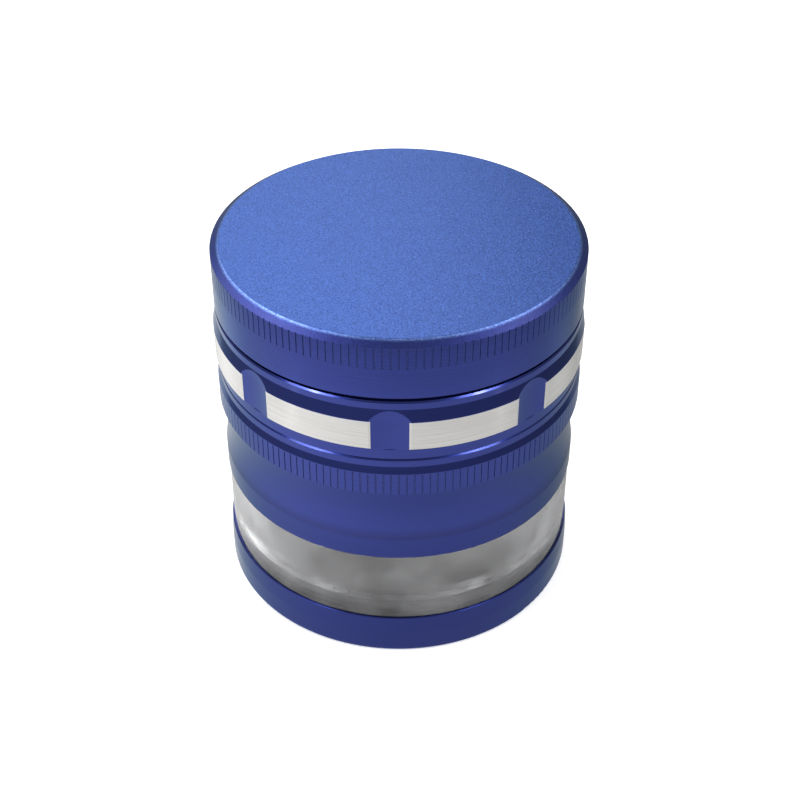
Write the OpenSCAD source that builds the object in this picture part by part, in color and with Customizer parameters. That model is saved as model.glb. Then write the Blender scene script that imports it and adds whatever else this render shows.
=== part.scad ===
// Herb grinder, four-piece with a clear catcher window. Millimetres, Z up, standing on Z = 0, front on -Y.
// Pieces from the bottom: base, window gasket, window ring, neck o-ring, storage body with its screen,
// chamber o-ring, grinding chamber with magnet, friction ring, lid with magnet.

/* [Stack heights] */
// Height of the blue base below the clear ring
base_h = 7.9; // [6:0.1:12]
// Visible height of the clear ring
window_h = 14.2; // [10:0.1:22]
// Height of the storage body
storage_h = 21.6; // [20:0.1:30]
// Height of the grinding chamber wall between its two seams
chamber_h = 11.5; // [11:0.1:16]
// Thickness of the friction ring, which is the dark gap under the lid
friction_t = 0.58; // [0.4:0.02:1.2]
// Height of the lid
lid_h = 10.52; // [9.5:0.02:13]

/* [Radii] */
// Lid wall
lid_r = 31.45; // [31:0.05:34]
// Plain bands above and below the proud bands
plain_r = 31.4; // [31:0.1:34]
// Proud band that carries the scallops
band_r = 31.9; // [31.4:0.05:34.5]
// Knurled band of the storage body
knurl_r = 31.8; // [31.4:0.01:34.5]
// Rim over the clear ring
rim_r = 31.3; // [30.9:0.05:33]
// Clear ring
window_r = 31.1; // [30.4:0.02:32]
// Base
base_r = 31.65; // [31:0.05:34]
// Inside of the grinding chamber
grind_r = 26.6; // [25.8:0.1:27]
// Inside of the storage body and of the space under the chamber floor
store_r = 25.6; // [24.5:0.1:26]

/* [Lid] */
// Thickness of the top plate
top_t = 3.3; // [2.5:0.1:4]
// Width of the edge chamfer, seen from above
edge_w = 1.5; // [0.5:0.1:2.5]
// Drop of the edge chamfer
edge_d = 0.9; // [0.4:0.1:1.5]

/* [Knurls] */
// Grooves round the lid
lid_knurl_n = 156; // [80:4:200]
// Grooves round the storage body
body_knurl_n = 160; // [80:4:200]
// Groove depth
knurl_d = 0.12; // [0.1:0.01:0.4]
// Groove width at the surface
knurl_w = 0.34; // [0.3:0.02:0.7]
// Height of the knurl under the lid edge
lid_knurl_h = 4; // [2:0.1:6]
// Height of the knurl on the storage body
body_knurl_h = 4.5; // [3:0.05:6]

/* [Scallops] */
// Scallops round the proud band
scallop_n = 8; // [4:1:12]
// Azimuth of one scallop, from +X
scallop_az = -92.6; // [-135:0.1:-45]
// Radius of the cutter that leaves them
scallop_cut = 17.5; // [7:0.5:20]
// Depth below the proud band
scallop_d = 0.52; // [0.3:0.01:1]

/* [Teeth] */
// Inner ring of chamber teeth
teeth_c1 = 6; // [4:1:8]
// Outer ring of chamber teeth
teeth_c2 = 12; // [8:1:16]
// Inner ring of lid teeth
teeth_l1 = 9; // [6:1:12]
// Outer ring of lid teeth
teeth_l2 = 15; // [10:1:20]
// Half width of a tooth across the cut
tooth_a = 1.4; // [1:0.1:1.5]
// Half length of a tooth along the cut
tooth_b = 2.2; // [1.5:0.1:2.6]
// Drop holes in the inner row
holes_1 = 10; // [6:1:12]
// Drop holes in the outer row
holes_2 = 16; // [10:1:20]
// Radius of a drop hole
hole_r = 2.2; // [1.5:0.1:2.2]

/* [Screen] */
// Thickness of the screen
mesh_t = 0.3; // [0.2:0.05:0.5]
// Gap of the open retaining ring, as an angle
clip_gap = 24; // [12:1:40]

/* [Magnets] */
// Magnet radius
mag_r = 4; // [3:0.1:4.2]
// Magnet thickness
mag_t = 2; // [1.5:0.1:2.5]

/* [View] */
// Piece to show

/* [Hidden] */
$fn = 96;
e = 0.01;

// levels of the seams, from the bottom up
z_win = base_h;
z_body = z_win + window_h;
z_cham = z_body + storage_h;
z_fric = z_cham + chamber_h;
z_lid = z_fric + friction_t;
z_top = z_lid + lid_h;

// fits
run = 0.3;                        // gap between turning walls
soft = 0.1;                       // gap round an o-ring

// threaded necks: male walls and the sockets over them
neck_r = 28.6;                    // window neck
neck_h = 2.8;
spigot_r = 27.9;                  // chamber spigot
spigot_h = 5.2;
collar_r = 28.15;                 // chamber collar inside the lid
collar_h = 4.7;
oring_s = 0.55;                   // o-ring section radius

// base and window
foot_r = 0.8;                     // rounding of the bottom edge
win_in = 26.8;
cup_r = 26;
cup_floor = 2.6;
cup_fillet = 4;
lip_h = 2.7;
lip_r = 28;
gasket_r = 29;

// chamber
floor_t = 2.6;
floor_z = z_fric - 2.7;           // top of the chamber floor
plate_z = z_top - top_t;          // underside of the lid plate
tooth_gap = 0.8;
post_r = 5.4;
mag_gap = 0.4;
mag_mid = (floor_z + plate_z) / 2 + 0.2;
row = [10.6, 15.2, 19.9, 24.6];   // tooth rows: chamber, lid, chamber, lid
hole_row = [15.2, 24.2];

// storage body levels
seat_z = z_body + 6.5;            // seat of the screen hoop
hoop_h = 1.4;
bore_r = 27.2;                    // screen counterbore
waist_top = z_cham - 2.75 - body_knurl_h;
waist_bot = z_body + 4.1;
waist_c = 30.5;                   // radius of the waist curve
waist_z = (waist_top + waist_bot) / 2;
half_w = (waist_top - waist_bot) / 2;
waist_r = rim_r - (waist_c - sqrt(waist_c * waist_c - half_w * half_w));

blue = [0.22, 0.27, 0.58];
bare = [0.8, 0.8, 0.78];

// round section seal lying level
module oring(r, z, s) rotate_extrude() translate([r, z]) circle(r = s);

// flat ring
module ring(r0, r1, z0, z1) translate([0, 0, z0]) difference() {
    cylinder(r = r1, h = z1 - z0);
    translate([0, 0, -1]) cylinder(r = r0, h = z1 - z0 + 2);
}

// n vertical grooves cut into a wall of radius r, between z0 and z1, fading out over f0 below and f1 above
module knurl_cut(n, r, z0, z1, f0, f1) {
    mouth = knurl_w / 2 / r * 180 / PI;
    flat = mouth * 0.4;
    out = r + 0.1;
    tip = r - knurl_d;
    difference() {
        translate([0, 0, z0]) cylinder(r = r + 1.5, h = z1 - z0);
        translate([0, 0, z0 - 1]) linear_extrude(z1 - z0 + 2) polygon([for (i = [0 : n - 1]) for (k = [0 : 3])
            let (a = i * 360 / n + [-mouth, -flat, flat, mouth][k], q = [out, tip, tip, out][k])
            [q * cos(a), q * sin(a)]]);
        rotate_extrude() polygon([[0, z0 - 1], [out, z0 - 1], [out, z0], [tip - 0.05, z0 + f0], [0, z0 + f0]]);
        if (f1 > 0)
            rotate_extrude() polygon([[0, z1 + 1], [out, z1 + 1], [out, z1], [tip - 0.05, z1 - f1], [0, z1 - f1]]);
    }
}

// diamond tooth standing on its root, long axis along the cut
module tooth(h) linear_extrude(h) polygon([[tooth_a, 0], [0.25, tooth_b], [-0.25, tooth_b], [-tooth_a, 0],
    [-0.25, -tooth_b], [0.25, -tooth_b]]);

module teeth(n, r, z, h, a0) for (i = [0 : n - 1]) rotate([0, 0, a0 + i * 360 / n]) translate([r, 0, z]) tooth(h);

module base() color(blue) rotate_extrude() difference() {
    union() {
        square([base_r - foot_r, 2 * foot_r]);
        translate([base_r - foot_r, foot_r]) circle(r = foot_r);
        polygon([[0, foot_r], [base_r, foot_r], [base_r, base_h - 3.4], [base_r - 0.2, base_h - 0.15],
            [base_r - 0.35, base_h], [0, base_h]]);
        polygon([[0, base_h - e], [lip_r, base_h - e], [lip_r, base_h + lip_h - 0.3], [lip_r - 0.3, base_h + lip_h],
            [0, base_h + lip_h]]);
    }
    translate([0, cup_floor]) square([cup_r - cup_fillet, 20]);
    translate([0, cup_floor + cup_fillet]) square([cup_r, 20]);
    translate([cup_r - cup_fillet, cup_floor + cup_fillet]) circle(r = cup_fillet);
}

module window_gasket() color([0.2, 0.2, 0.21]) ring(lip_r, gasket_r, base_h, base_h + lip_h);

module window_ring() color([0.75, 0.77, 0.78, 0.5]) rotate_extrude() polygon([
    [gasket_r, z_win], [window_r - 0.1, z_win], [window_r, z_win + 0.1], [window_r, z_body - 0.15],
    [window_r - 0.15, z_body], [neck_r, z_body], [neck_r, z_body + neck_h - 0.3], [neck_r - 0.3, z_body + neck_h],
    [win_in, z_body + neck_h], [win_in, z_win + lip_h + 0.2], [gasket_r, z_win + lip_h + 0.2]]);

module neck_oring() color([0.12, 0.12, 0.13]) oring(neck_r + soft + oring_s, z_body + oring_s, oring_s);

module storage_body() color(blue) difference() {
    rotate_extrude() difference() {
        polygon([[store_r, z_cham], [plain_r - 0.3, z_cham], [plain_r, z_cham - 0.3], [plain_r, z_cham - 1.5],
            [knurl_r, z_cham - 2.75], [knurl_r, waist_top + 0.25], [knurl_r - 0.27, waist_top], [rim_r, waist_top],
            [rim_r, z_body + 0.15], [rim_r - 0.15, z_body], [neck_r + 2 * soft + 2 * oring_s, z_body],
            [neck_r + 2 * soft + 2 * oring_s, z_body + 2 * oring_s + soft], [neck_r + run, z_body + 2 * oring_s + soft],
            [neck_r + run, z_body + neck_h + 0.2], [bore_r, z_body + neck_h + 0.2], [bore_r, z_body + 3.4],
            [bore_r + 0.5, z_body + 3.4], [bore_r + 0.5, z_body + 4.8], [bore_r, z_body + 4.8], [bore_r, seat_z],
            [store_r, seat_z]]);
        // waist
        intersection() {
            translate([waist_r + waist_c, waist_z]) circle(r = waist_c);
            translate([waist_r - 1, waist_bot]) square([5, waist_top - waist_bot]);
        }
        // socket for the chamber spigot, with the corner that holds the o-ring
        translate([0, z_cham - spigot_h - 0.2]) square([spigot_r + 0.6, spigot_h + 1]);
        translate([0, z_cham - 2 * oring_s - soft]) square([spigot_r + 2 * soft + 2 * oring_s + 0.3, 3]);
    }
    knurl_cut(body_knurl_n, knurl_r, waist_top - 0.1, z_cham - 2.72, 0, 0.5);
}

module screen_hoop() color(bare) ring(store_r - 0.6, bore_r - 0.1, seat_z - hoop_h, seat_z);

module screen_mesh() color([0.7, 0.7, 0.7]) translate([0, 0, seat_z - hoop_h - mesh_t])
    cylinder(r = bore_r - 0.2, h = mesh_t);

// open spring ring in its groove
module screen_retainer() color([0.45, 0.45, 0.47]) difference() {
    ring(bore_r - 1.9, bore_r + 0.4, z_body + 3.4, seat_z - hoop_h - mesh_t);
    translate([0, 0, z_body]) linear_extrude(9) polygon([[0, 0], [40 * cos(90 - clip_gap / 2), 40 * sin(90 - clip_gap / 2)],
        [40 * cos(90 + clip_gap / 2), 40 * sin(90 + clip_gap / 2)]]);
}

module chamber_oring() color([0.12, 0.12, 0.13]) oring(spigot_r + soft + oring_s, z_cham - oring_s, oring_s);

module grinding_chamber() color(blue) difference() {
    union() {
        rotate_extrude() polygon([
            [0, floor_z - floor_t], [store_r, floor_z - floor_t], [store_r, z_cham - spigot_h],
            [spigot_r - 0.4, z_cham - spigot_h], [spigot_r, z_cham - spigot_h + 0.4], [spigot_r, z_cham],
            [plain_r - 0.2, z_cham], [plain_r, z_cham + 0.2], [plain_r, z_cham + 2.05], [band_r, z_cham + 2.5],
            [band_r, z_cham + 7.9], [plain_r, z_cham + 10.1], [plain_r, z_fric - 0.25], [plain_r - 0.25, z_fric],
            [collar_r, z_fric], [collar_r, z_fric + collar_h - 0.3], [collar_r - 0.3, z_fric + collar_h],
            [grind_r, z_fric + collar_h], [grind_r, floor_z], [post_r, floor_z], [post_r, mag_mid - mag_gap / 2],
            [mag_r + 0.05, mag_mid - mag_gap / 2], [mag_r + 0.05, mag_mid - mag_gap / 2 - mag_t],
            [0, mag_mid - mag_gap / 2 - mag_t]]);
        teeth(teeth_c1, row[0], floor_z - e, plate_z - tooth_gap - floor_z + e, 0);
        teeth(teeth_c2, row[2], floor_z - e, plate_z - tooth_gap - floor_z + e, 0);
    }
    for (i = [0 : scallop_n - 1]) rotate([0, 0, scallop_az + i * 360 / scallop_n])
        translate([band_r - scallop_d + scallop_cut, 0, z_cham + 2.1]) {
            cylinder(r = scallop_cut, h = 6.1);
            translate([0, 0, 6.1]) intersection() {
                sphere(r = scallop_cut);
                cylinder(r = 2 * scallop_cut, h = 8);
            }
        }
    for (i = [0 : holes_1 - 1]) rotate([0, 0, (i + 0.5) * 360 / holes_1])
        translate([hole_row[0], 0, floor_z - floor_t - 1]) cylinder(r = hole_r, h = floor_t + 2);
    for (i = [0 : holes_2 - 1]) rotate([0, 0, (i + 0.5) * 360 / holes_2])
        translate([hole_row[1], 0, floor_z - floor_t - 1]) cylinder(r = hole_r, h = floor_t + 2);
}

module chamber_magnet() color([0.75, 0.75, 0.77]) translate([0, 0, mag_mid - mag_gap / 2 - mag_t])
    cylinder(r = mag_r, h = mag_t);

module friction_ring() color([0.1, 0.1, 0.1]) ring(collar_r + 0.35, 30.4, z_fric, z_lid);

module lid() color(blue) difference() {
    union() {
        rotate_extrude() polygon([
            [0, z_top], [lid_r - edge_w, z_top], [lid_r, z_top - edge_d], [lid_r, z_lid + 0.2], [lid_r - 0.2, z_lid],
            [collar_r + run, z_lid], [collar_r + run, plate_z], [post_r, plate_z], [post_r, mag_mid + mag_gap / 2],
            [mag_r + 0.05, mag_mid + mag_gap / 2], [mag_r + 0.05, mag_mid + mag_gap / 2 + mag_t],
            [0, mag_mid + mag_gap / 2 + mag_t]]);
        teeth(teeth_l1, row[1], floor_z + tooth_gap, plate_z - tooth_gap - floor_z + e, 10);
        teeth(teeth_l2, row[3], floor_z + tooth_gap, plate_z - tooth_gap - floor_z + e, 0);
    }
    knurl_cut(lid_knurl_n, lid_r, z_top - edge_d - lid_knurl_h, z_top + 1, 0.4, 0);
}

module lid_magnet() color([0.75, 0.75, 0.77]) translate([0, 0, mag_mid + mag_gap / 2]) cylinder(r = mag_r, h = mag_t);

base();
window_gasket();
window_ring();
neck_oring();
storage_body();
screen_hoop();
screen_mesh();
screen_retainer();
chamber_oring();
grinding_chamber();
chamber_magnet();
friction_ring();
lid();
lid_magnet();
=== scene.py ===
import math

import bmesh
import bpy
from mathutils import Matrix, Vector


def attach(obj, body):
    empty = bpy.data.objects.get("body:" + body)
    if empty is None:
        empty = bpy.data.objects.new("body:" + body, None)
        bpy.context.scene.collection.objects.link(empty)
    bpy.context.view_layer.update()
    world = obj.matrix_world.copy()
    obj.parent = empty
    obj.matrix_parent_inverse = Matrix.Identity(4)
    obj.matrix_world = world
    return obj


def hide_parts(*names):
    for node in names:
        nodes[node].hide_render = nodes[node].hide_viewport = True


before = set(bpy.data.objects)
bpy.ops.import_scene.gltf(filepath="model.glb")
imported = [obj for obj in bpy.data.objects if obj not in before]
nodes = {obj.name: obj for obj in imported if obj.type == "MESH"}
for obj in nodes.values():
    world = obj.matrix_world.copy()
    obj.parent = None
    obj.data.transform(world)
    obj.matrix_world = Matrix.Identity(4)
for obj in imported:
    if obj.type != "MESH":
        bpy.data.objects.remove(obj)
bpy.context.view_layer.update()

scene = bpy.context.scene
MM = 0.001
WHITE = (1, 1, 1, 1)

# ---------------------------------------------------------------- camera
CAM_DIST = 267.74 * MM
CAM_ELEV = math.radians(37.664)
CAM_TARGET_Z = 31.5 * MM
CAM_SENSOR, CAM_LENS = 36, 66.771  # mm
CAM_SHIFT_X = 0.00122
CAM_CLIP_START = 0.01


def link(name, data):
    """A new object of this name and data, in the scene."""
    o = bpy.data.objects.new(name, data)
    scene.collection.objects.link(o)
    return o


cam_data = bpy.data.cameras.new("camera")
cam_data.sensor_width = CAM_SENSOR
cam_data.lens = CAM_LENS
cam_data.shift_x = CAM_SHIFT_X
cam_data.clip_start = CAM_CLIP_START
cam = link("camera", cam_data)
cam.location = (0, -CAM_DIST * math.cos(CAM_ELEV), CAM_TARGET_Z + CAM_DIST * math.sin(CAM_ELEV))
cam.rotation_euler = (math.pi / 2 - CAM_ELEV, 0, 0)
scene.camera = cam


# ---------------------------------------------------------------- node helpers
def new_material(name):
    m = bpy.data.materials.new(name)
    m.use_nodes = True
    tree = m.node_tree
    tree.nodes.clear()
    out = tree.nodes.new("ShaderNodeOutputMaterial")
    bsdf = tree.nodes.new("ShaderNodeBsdfPrincipled")
    tree.links.new(bsdf.outputs[0], out.inputs[0])
    return m, tree, bsdf


def feed(tree, socket, value):
    """Link the socket to an output, or set it to a plain value."""
    if hasattr(value, "is_output"):
        tree.links.new(value, socket)
    else:
        socket.default_value = value


def node(tree, kind, **values):
    """A node whose inputs and properties are set by name."""
    n = tree.nodes.new(kind)
    for key, value in values.items():
        if key in n.inputs:
            feed(tree, n.inputs[key], value)
        else:
            setattr(n, key, value)
    return n


def math_node(tree, op, a, b=None, clamp=False):
    n = node(tree, "ShaderNodeMath", operation=op, use_clamp=clamp)
    feed(tree, n.inputs[0], a)
    if b is not None:
        feed(tree, n.inputs[1], b)
    return n.outputs[0]


def add(tree, a, b):
    return math_node(tree, "ADD", a, b)


def times(tree, a, b):
    return math_node(tree, "MULTIPLY", a, b)


def linear(tree, value, gain, offset):
    """value * gain + offset"""
    return add(tree, times(tree, value, gain), offset)


def contrast(tree, value, low, gain):
    """The part of the value above low, times gain, kept within 0 and 1."""
    return math_node(tree, "MULTIPLY", math_node(tree, "SUBTRACT", value, low), gain, clamp=True)


def above(tree, value, low):
    return math_node(tree, "GREATER_THAN", value, low)


def below(tree, value, high):
    return math_node(tree, "LESS_THAN", value, high)


def between(tree, value, low, high):
    return times(tree, above(tree, value, low), below(tree, value, high))


def map_range(tree, value, low, high, out_low=0.0, out_high=1.0, kind="SMOOTHSTEP"):
    """Eased from out_low at low to out_high at high, and level beyond them."""
    n = node(tree, "ShaderNodeMapRange", interpolation_type=kind)
    feed(tree, n.inputs["Value"], value)
    for key, limit in (("From Min", low), ("From Max", high), ("To Min", out_low), ("To Max", out_high)):
        n.inputs[key].default_value = limit
    return n.outputs[0]


def mix(tree, data_type, first_input, output, fac, a, b):
    """A Mix node. Each data type has its own pair of inputs, from first_input on, and its own output."""
    n = node(tree, "ShaderNodeMix", data_type=data_type)
    for index, value in ((0, fac), (first_input, a), (first_input + 1, b)):
        feed(tree, n.inputs[index], value)
    return n.outputs[output]


def mix_color(tree, fac, a, b):
    return mix(tree, "RGBA", 6, 2, fac, a, b)


def mix_value(tree, fac, a, b):
    return mix(tree, "FLOAT", 2, 0, fac, a, b)


def object_position(tree):
    return tree.nodes.new("ShaderNodeTexCoord").outputs["Object"]


def polar(tree):
    """Radius, height and angle round the axis, in metres and radians, and the object position they come from."""
    position = object_position(tree)
    sep = tree.nodes.new("ShaderNodeSeparateXYZ")
    tree.links.new(position, sep.inputs[0])
    x, y, z = sep.outputs
    r = math_node(tree, "SQRT", add(tree, times(tree, x, x), times(tree, y, y)))
    a = math_node(tree, "ARCTAN2", y, x)
    return r, z, a, position


def noise(tree, vector, scale, detail=3.0, rough=0.6):
    n = node(tree, "ShaderNodeTexNoise", Scale=scale, Detail=detail, Roughness=rough)
    tree.links.new(vector, n.inputs["Vector"])
    return n.outputs["Fac"]


def turned_noise(tree, place, kr, kz, ka, detail=3.0, rough=0.6):
    """Noise that stretches round the axis: fine across a turned surface, long along it."""
    r, z, a = place
    comb = tree.nodes.new("ShaderNodeCombineXYZ")
    tree.links.new(times(tree, math_node(tree, "COSINE", a), ka), comb.inputs[0])
    tree.links.new(times(tree, math_node(tree, "SINE", a), ka), comb.inputs[1])
    tree.links.new(add(tree, times(tree, r, kr), times(tree, z, kz)), comb.inputs[2])
    return noise(tree, comb.outputs[0], 1.0, detail, rough)


def bump(tree, bsdf, height, strength, distance=0.0001):
    b = node(tree, "ShaderNodeBump", Strength=strength, Distance=distance)
    tree.links.new(height, b.inputs["Height"])
    tree.links.new(b.outputs[0], bsdf.inputs["Normal"])


# ---------------------------------------------------------------- materials
BLUE, BLUE_DEEP = (0.0172, 0.0308, 0.197, 1), (0.0122, 0.0222, 0.160, 1)
# Painted light: a paler blue that lifts the shade on the floors of the knurl's cuts.
BLUE_CUT_PAINTED_LIGHT = (0.026, 0.042, 0.225, 1)
# Painted shade for the crease between the body's waist and its rim.
BLUE_CREASE_SHADE = (0.0075, 0.0135, 0.105, 1)
TINT = (0.50, 0.62, 0.70, 1)
# Dark and light of the blasted grain: on the flat top, down the rounded edge, and a pale painted highlight on the rim
# between them, standing in for light from above.
BLAST = (0.0115, 0.040, 0.205, 1), (0.059, 0.140, 0.495, 1)
BLAST_EDGE = (0.017, 0.026, 0.175, 1), (0.028, 0.046, 0.250, 1)
# Painted highlight: the pale pair for the rim of the rounded edge.
BLAST_RIM_HIGHLIGHT = (0.060, 0.125, 0.450, 1), (0.240, 0.390, 0.900, 1)
RIM_HIGHLIGHT_FROM = 0.52 * MM  # above the foot of the blasted edge, where the painted rim highlight starts
BARE = (0.60, 0.60, 0.60, 1), (0.76, 0.75, 0.74, 1)
BRUSHED = (0.30, 0.295, 0.285, 1), (0.66, 0.655, 0.645, 1)
BRUSHED_SHADE = (0.42, 0.415, 0.40, 1)


def mm(*values):
    return tuple(v * MM for v in values)


class Skin:
    """A surface in the making: start gives its colour, roughness and bump height, uniform sets what is the same all
    over it, and each zone, a mask of 0 to 1, mixes others in."""

    def __init__(self, name):
        self.material, self.tree, self.shader = new_material(name)
        self.r, self.z, self.a, self.position = polar(self.tree)

    def turned(self, *stretch_and_detail):
        return turned_noise(self.tree, (self.r, self.z, self.a), *stretch_and_detail)

    def start(self, color, rough, height):
        self.color, self.rough, self.height = color, rough, height

    def uniform(self, **values):
        for key, value in values.items():
            self.shader.inputs[key.replace("_", " ")].default_value = value

    def zone(self, mask, color=None, rough=None, height=None):
        if color is not None:
            self.color = mix_color(self.tree, mask, self.color, color)
        if rough is not None:
            self.rough = mix_value(self.tree, mask, self.rough, rough)
        if height is not None:
            self.height = mix_value(self.tree, mask, self.height, height)

    def finish(self, bump_strength):
        """The material, once the surface is linked to its shader."""
        self.tree.links.new(self.color, self.shader.inputs["Base Color"])
        self.tree.links.new(self.rough, self.shader.inputs["Roughness"])
        bump(self.tree, self.shader, self.height, bump_strength)
        return self.material


def blasted_top(skin, foot, top):
    """Bead-blasted above foot: dark down the rounded edge, a pale painted highlight along its rim, and even above top.
    """
    t = skin.tree
    grain, fleck = noise(t, skin.position, 3300, 1.0, 0.5), noise(t, skin.position, 6100, 1.0, 0.5)
    grit = add(t, times(t, grain, 0.65), times(t, fleck, 0.35))
    sharp = contrast(t, grit, 0.33, 2.9)
    # Painted highlight: from here up to top the edge's grain turns pale, standing in for light from above.
    rim_highlight = map_range(t, skin.z, foot + RIM_HIGHLIGHT_FROM, top)
    edge = mix_color(t, rim_highlight, mix_color(t, sharp, *BLAST_EDGE), mix_color(t, sharp, *BLAST_RIM_HIGHLIGHT))
    skin.zone(above(t, skin.z, foot), edge, 0.34, times(t, grit, 6.0))
    skin.zone(above(t, skin.z, top), mix_color(t, sharp, *BLAST))


def bare_inside(skin, r_max, low, high):
    """Bare turned metal within r_max, between two levels."""
    t = skin.tree
    inside = times(t, below(t, skin.r, r_max), between(t, skin.z, low, high))
    skin.zone(inside, mix_color(t, skin.turned(1800, 1800, 0.8), *BARE), 0.42)


def brushed_band(skin, r_min, low, high):
    """Bare brushed metal beyond r_min, between two levels."""
    t = skin.tree
    proud = times(t, above(t, skin.r, r_min), between(t, skin.z, low, high))
    line, slow = skin.turned(100, 9000, 2.0, 4.0, 0.65), skin.turned(100, 700, 5.0)
    metal = mix_color(t, times(t, slow, 0.5), mix_color(t, line, *BRUSHED), BRUSHED_SHADE)
    skin.zone(proud, metal, 0.25, times(t, line, 3.0))
    t.links.new(mix_color(t, proud, TINT, WHITE), skin.shader.inputs["Specular Tint"])


def knurl_cuts_painted_light(skin, r_max, low, high):
    """Duller, paler metal on the floor of the knurl's cuts, which lies within r_max, between two levels: painted light
    that lifts the shade in the grooves.
    """
    t = skin.tree
    groove = times(t, below(t, skin.r, r_max), between(t, skin.z, low, high))
    # Painted light: the paler blue and the partly unmetallic finish lift the shade in the cuts.
    skin.zone(groove, BLUE_CUT_PAINTED_LIGHT, 0.55)
    t.links.new(mix_value(t, groove, 1.0, 0.74), skin.shader.inputs["Metallic"])


def painted_crease_shade(skin, low, high):
    """Painted shade in the crease: a darker blue that starts at low and fades out at high."""
    t = skin.tree
    fade = map_range(t, skin.z, low, high, 0.75, 0.0)
    skin.zone(times(t, fade, above(t, skin.z, low)), BLUE_CREASE_SHADE)


def anodised(name, blast=None, bare=None, band=None, cuts=None, crease=None):
    """Blue anodised aluminium with turned sides, and the zones that are asked for."""
    skin = Skin(name)
    t = skin.tree
    turn = skin.turned(2500, 2500, 1.2)
    skin.start(mix_color(t, times(t, turn, 0.8), BLUE, BLUE_DEEP), linear(t, turn, 0.10, 0.17), turn)
    skin.uniform(Metallic=1.0, Specular_Tint=TINT, Coat_Weight=0.35, Coat_IOR=1.6,
                 Coat_Roughness=0.30 if blast else 0.10)
    for paint, limits in ((blasted_top, blast), (bare_inside, bare), (brushed_band, band),
                          (knurl_cuts_painted_light, cuts), (painted_crease_shade, crease)):
        if limits:
            paint(skin, *mm(*limits))
    return skin.finish(0.16 if blast else 0.04)


def plain_metal(name, dark, light, rough):
    """Turned or rolled metal, with fine lines from dark to light."""
    skin = Skin(name)
    line = skin.turned(1500, 1500, 1.0)
    skin.start(mix_color(skin.tree, line, dark, light), linear(skin.tree, line, 0.12, rough), line)
    skin.uniform(Metallic=1.0)
    return skin.finish(0.05)


def polymer(name, dark, light, rough, scale):
    """Rubber or moulded plastic, with an even grain from dark to light."""
    m, t, b = new_material(name)
    grain = noise(t, object_position(t), scale)
    t.links.new(mix_color(t, grain, dark, light), b.inputs["Base Color"])
    t.links.new(linear(t, grain, 0.15, rough), b.inputs["Roughness"])
    bump(t, b, grain, 0.05)
    return m


def acrylic(name):
    """Clear, with faint smears that blur it a little."""
    m, t, b = new_material(name)
    haze = noise(t, object_position(t), 85)
    smear = contrast(t, haze, 0.38, 3.6)
    t.links.new(linear(t, smear, 0.22, 0.05), b.inputs["Roughness"])
    t.links.new(math_node(t, "SUBTRACT", 0.985, times(t, smear, 0.12)), b.inputs["Transmission Weight"])
    b.inputs["Base Color"].default_value = (0.82, 0.825, 0.84, 1)
    b.inputs["IOR"].default_value = 1.49
    bump(t, b, haze, 0.05, 0.0004)
    return m


# The limits of the zones are radii and levels of part.scad, in mm.
MATERIAL = {
    "lid": anodised("anodised_lid", blast=(65.42, 66.27), cuts=(31.42, 61.4, 65.3)),
    "grinding_chamber": anodised("anodised_chamber", band=(31.80, 46.1, 51.5)),
    # The storage body's crease zone is painted shade.
    "storage_body": anodised("anodised_body", cuts=(31.775, 36.75, 40.9), crease=(26.2, 28.8)),
    "base": anodised("anodised_base", bare=(28.5, 2.0, 12)),
    "window_ring": acrylic("clear_acrylic"),
    "window_gasket": polymer("seal_grey", (0.016, 0.016, 0.017, 1), (0.032, 0.032, 0.034, 1), 0.45, 900),
    "neck_oring": polymer("seal_black", (0.012, 0.012, 0.013, 1), (0.03, 0.03, 0.032, 1), 0.45, 900),
    "friction_ring": polymer("acetal_navy", (0.060, 0.068, 0.160, 1), (0.085, 0.096, 0.215, 1), 0.4, 700),
    "screen_hoop": plain_metal("stainless_hoop", (0.48, 0.48, 0.48, 1), (0.62, 0.62, 0.61, 1), 0.25),
    "screen_mesh": plain_metal("stainless_screen", (0.40, 0.40, 0.40, 1), (0.60, 0.60, 0.60, 1), 0.35),
    "screen_retainer": plain_metal("spring_steel", (0.30, 0.30, 0.31, 1), (0.44, 0.44, 0.45, 1), 0.3),
    "lid_magnet": plain_metal("nickel_plate", (0.66, 0.64, 0.60, 1), (0.75, 0.73, 0.70, 1), 0.12),
}
MATERIAL["chamber_oring"] = MATERIAL["neck_oring"]
MATERIAL["chamber_magnet"] = MATERIAL["lid_magnet"]
for name, obj in nodes.items():
    obj.data.materials.clear()
    obj.data.materials.append(MATERIAL[name])


# ---------------------------------------------------------------- pieces that the CAD leaves to the eye
def mesh_piece(name, verts, faces, body, material, sharp_turn):
    """A smooth mesh in world coordinates that rides a body. Edges that turn sharp_turn degrees or more stay crisp."""
    me = bpy.data.meshes.new(name)
    me.from_pydata(verts, [], faces)
    bm = bmesh.new()
    bm.from_mesh(me)
    bmesh.ops.recalc_face_normals(bm, faces=bm.faces)
    for f in bm.faces:
        f.smooth = True
    for edge in bm.edges:
        edge.smooth = edge.is_manifold and edge.calc_face_angle() < math.radians(sharp_turn)
    bm.to_mesh(me)
    bm.free()
    o = link(name, me)
    o.data.materials.append(material)
    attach(o, body)
    return o


LATHE_CRISP, THREAD_CRISP = 40, 35  # degrees


def lathe(name, profile, steps, body, material):
    """Closed profile of (radius, height) in mm turned round the axis."""
    n = len(profile)
    verts, faces = [], []
    for i in range(steps):
        a = 2 * math.pi * i / steps
        here, there = i * n, (i + 1) % steps * n
        verts += [(r * MM * math.cos(a), r * MM * math.sin(a), z * MM) for r, z in profile]
        faces += [(here + k, here + (k + 1) % n, there + (k + 1) % n, there + k) for k in range(n)]
    return mesh_piece(name, verts, faces, body, material, LATHE_CRISP)


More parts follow.
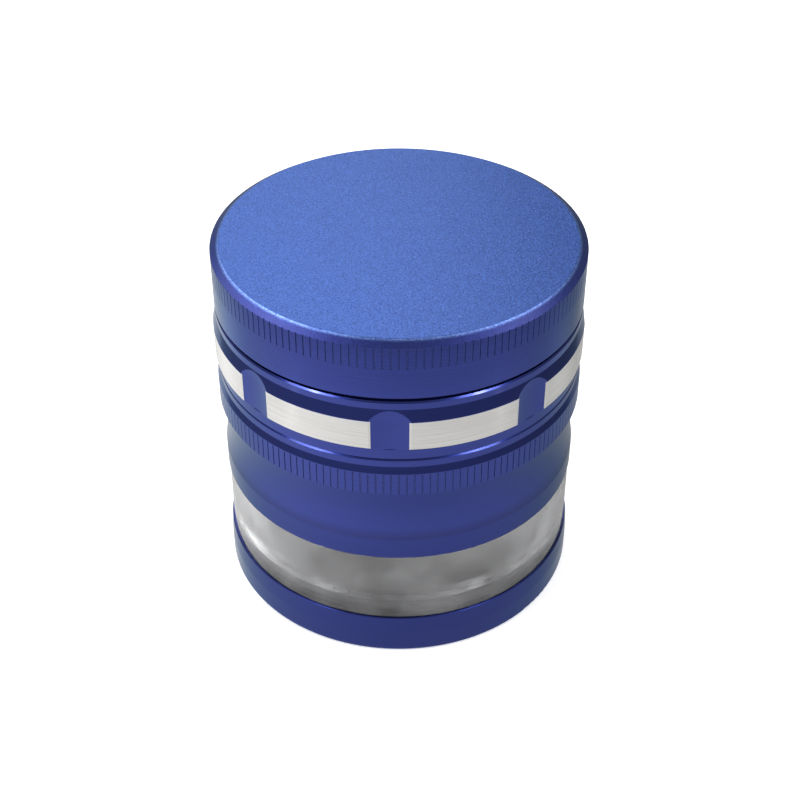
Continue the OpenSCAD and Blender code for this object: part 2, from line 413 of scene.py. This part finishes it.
PITCH = 1.5            # mm a turn, as the record's couplings
THREAD_STEPS = 96      # cross-sections a turn
THREAD_SUNK = 0.06     # mm that the ridge's root lies inside the wall
THREAD_RUN_OUT = 0.12  # turns over which a ridge fades at each end
THREAD_TIP_MIN = 0.03  # share of the ridge's height that is left at its very ends
THREAD_HALF_ROOT, THREAD_HALF_TIP = 0.42, 0.12  # mm, half the ridge's width


def thread(name, wall, crest, z_from, z_to, start, body, material):
    """Right-hand thread ridge in mm that grows from a wall at radius wall to radius crest and fades out at its ends."""
    turns = (z_to - z_from) / PITCH
    count = int(turns * THREAD_STEPS)
    fade = THREAD_STEPS * THREAD_RUN_OUT
    root = wall + (THREAD_SUNK if crest < wall else -THREAD_SUNK)
    verts, faces = [], []
    for i in range(count + 1):
        a = start + 2 * math.pi * turns * i / count
        z = z_from + (z_to - z_from) * i / count
        grow = min(1.0, i / fade, (count - i) / fade)
        tip = root + (crest - root) * max(grow, THREAD_TIP_MIN)
        for r, dz in ((root, -THREAD_HALF_ROOT), (tip, -THREAD_HALF_TIP),
                      (tip, THREAD_HALF_TIP), (root, THREAD_HALF_ROOT)):
            verts.append((r * MM * math.cos(a), r * MM * math.sin(a), (z + dz) * MM))
    for i in range(count):
        for k in range(4):
            faces.append((i * 4 + k, i * 4 + (k + 1) % 4, i * 4 + 4 + (k + 1) % 4, i * 4 + 4 + k))
    faces += [(0, 1, 2, 3), tuple(count * 4 + k for k in (3, 2, 1, 0))]
    return mesh_piece(name, verts, faces, body, material, THREAD_CRISP)


# Ribbed seal under the clear ring, in mm: three soft ribs press on the ring.
SEAL_IN, SEAL_OUT, SEAL_LOW, SEAL_HIGH, SEAL_STEPS = 28.04, 28.80, 7.93, 10.57, 180
RIB_ROOT, RIB_PROUD, RIB_FROM, RIB_SPAN = 28.86, 0.11, 7.97, 2.56
RIBS, RIB_STEPS = 3, 8
ribs = [(RIB_ROOT + RIB_PROUD * math.sin(math.pi * ((k / RIB_STEPS) % 1.0)) ** 2,
         RIB_FROM + RIB_SPAN * k / (RIBS * RIB_STEPS)) for k in range(RIBS * RIB_STEPS + 1)]
seal = lathe("gasket_ribbed",
             [(SEAL_IN, SEAL_LOW), (SEAL_OUT, SEAL_LOW)] + ribs + [(SEAL_OUT, SEAL_HIGH), (SEAL_IN, SEAL_HIGH)],
             SEAL_STEPS, "catcher", MATERIAL["window_gasket"])
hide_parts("window_gasket")

# Each screw joint has a ridge on either side, half a turn apart: wall and crest radius, and levels, in mm.
thread("chamber_thread", 27.90, 28.34, 39.15, 42.00, 0.0,
       "chamber", MATERIAL["grinding_chamber"])
thread("storage_socket_thread", 28.50, 28.06, 39.15, 42.00, math.pi,
       "storage", MATERIAL["storage_body"])
thread("window_thread", 28.60, 28.68, 23.70, 24.45, 0.0,
       "catcher", MATERIAL["window_ring"])
thread("storage_skirt_thread", 28.90, 28.74, 23.80, 24.65, math.pi,
       "storage", MATERIAL["storage_body"])


# ---------------------------------------------------------------- studio
def stage_mesh(name, verts, faces, material, hidden_from=()):
    """A surface of the studio, hidden from some kinds of ray."""
    me = bpy.data.meshes.new(name)
    me.from_pydata(verts, [], faces)
    o = link(name, me)
    o.data.materials.append(material)
    for ray in hidden_from:
        setattr(o, "visible_" + ray, False)


def paper(name, tone, rough, glow=0.0):
    """Grey paper with a white glow, as (material, tree, shader)."""
    m, t, b = new_material(name + "_paper")
    b.inputs["Base Color"].default_value = (tone, tone, tone, 1)
    b.inputs["Roughness"].default_value = rough
    b.inputs["Emission Color"].default_value = WHITE
    b.inputs["Emission Strength"].default_value = glow
    return m, t, b


def strip(rings, sides):
    """Rings of (radius, height) in metres, each of so many sides, joined into a strip: its vertices and faces."""
    angles = [2 * math.pi * i / sides for i in range(sides)]
    verts = [(r * math.cos(a), r * math.sin(a), h) for r, h in rings for a in angles]
    faces = [(k * sides + i, k * sides + (i + 1) % sides, (k + 1) * sides + (i + 1) % sides, (k + 1) * sides + i)
             for k in range(len(rings) - 1) for i in range(sides)]
    return verts, faces


FLOOR = 0.9  # m, half the floor's side
stage_mesh("floor", [(-FLOOR, -FLOOR, 0), (FLOOR, -FLOOR, 0), (FLOOR, FLOOR, 0), (-FLOOR, FLOOR, 0)], [(0, 1, 2, 3)],
           paper("floor", 0.90, 0.9, 0.5)[0])

# The white sweep behind, in metres: only the camera sees it, so it lights nothing.
SWEEP_R, SWEEP_H, SWEEP_SIDES = 0.88, 2, 64
stage_mesh("sweep", *strip([(SWEEP_R, 0), (SWEEP_R, SWEEP_H)], SWEEP_SIDES), paper("sweep", 0.0, 0.5, 1.0)[0],
           ("diffuse", "glossy", "transmission", "shadow"))

world = bpy.data.worlds.new("studio")
scene.world = world
world.use_nodes = True
bg = world.node_tree.nodes["Background"]
bg.inputs["Color"].default_value = WHITE
bg.inputs["Strength"].default_value = 0.42

AIM_Z = 0.04  # m, the height that the lights aim at


def softbox(name, azimuth, elevation, dist, size, watts):
    """Area light aimed at the object; azimuth 0 is the camera's side, positive towards +X."""
    data = bpy.data.lights.new(name, "AREA")
    data.shape = "RECTANGLE"
    data.size, data.size_y = size
    data.energy = watts
    o = link(name, data)
    az, el = math.radians(azimuth), math.radians(elevation)
    o.location = (dist * math.cos(el) * math.sin(az), -dist * math.cos(el) * math.cos(az),
                  AIM_Z + dist * math.sin(el))
    o.rotation_euler = (Vector((0, 0, AIM_Z)) - o.location).to_track_quat("-Z", "Y").to_euler()


softbox("key_left", -59, 45, 0.8, (0.30, 0.24), 1.4)
softbox("key_left_core", -57, 45, 0.79, (0.08, 0.06), 0.5)
softbox("key_right", 54, 45, 0.8, (0.26, 0.24), 1.1)
softbox("key_right_core", 54, 45, 0.79, (0.08, 0.06), 0.4)
softbox("side_left", -104, 55, 0.8, (0.34, 0.26), 0.9)
softbox("side_right", 104, 55, 0.8, (0.30, 0.26), 0.75)
softbox("back", -150, 45, 0.8, (0.95, 0.55), 2.9)

# Two glowing cards that only reflections and the clear ring see, as bounce cards do in a studio: the table near
# the object, brighter to the left, and a dim wall round it that gives the turned bevels their dark bands.
CARD_IN, CARD_R, CARD_Z, WALL_TOP = mm(31.55, 124, 0.3, 90)
CARD_SIDES = 96
# Round the axis, their glow leans to one side and has weak lobes.
LEAN_ANGLE, LEAN = math.radians(138), 0.40
LOBES, LOBE = 3.0, -0.098
# Brighter patches on the table card, as (azimuth, radius mm, size mm, added glow): the bare band shows them as its
# two glints and its brighter flanks.
PATCHES = [(-57, 95, 7, 1.6), (54, 95, 7, 1.2), (-112, 95, 40, 0.40), (100, 95, 40, 0.27)]


def patch(tree, position, azimuth, radius, size, glow):
    """Added glow that falls from the middle of a round patch to nothing at its rim."""
    az = math.radians(azimuth)
    far = node(tree, "ShaderNodeVectorMath", operation="DISTANCE")
    tree.links.new(position, far.inputs[0])
    far.inputs[1].default_value = (radius * MM * math.sin(az), -radius * MM * math.cos(az), 0)
    return map_range(tree, far.outputs["Value"], 0, size * MM, glow, 0, "SMOOTHERSTEP")


def bounce(name, rings, by_height, low, high, glow_low, glow_high, patches=()):
    """A glowing strip. Its glow runs from glow_low to glow_high between low and high of the radius or the height,
    and is strongest at the front left and weakest at the back right."""
    m, t, b = paper(name, 0.02, 0.9)
    r, z, a, position = polar(t)
    lean = times(t, math_node(t, "COSINE", add(t, a, LEAN_ANGLE)), LEAN)
    lobes = times(t, math_node(t, "SINE", times(t, a, LOBES)), LOBE)
    around = add(t, add(t, lean, lobes), 1.0)
    glow = times(t, around, map_range(t, z if by_height else r, low, high, glow_low, glow_high))
    for spot in patches:
        glow = add(t, glow, patch(t, position, *spot))
    t.links.new(glow, b.inputs["Emission Strength"])
    stage_mesh(name, *strip(rings, CARD_SIDES), m, ("camera", "diffuse", "shadow"))


bounce("table_bounce", [(CARD_IN, CARD_Z), (CARD_R, CARD_Z)], False, *mm(34, 84), 0.66, 1.06, PATCHES)
bounce("wall_bounce", [(CARD_R, CARD_Z), (CARD_R, WALL_TOP)], True, *mm(30, 44), 0.33, 0.54)

scene.view_settings.view_transform = "Standard"
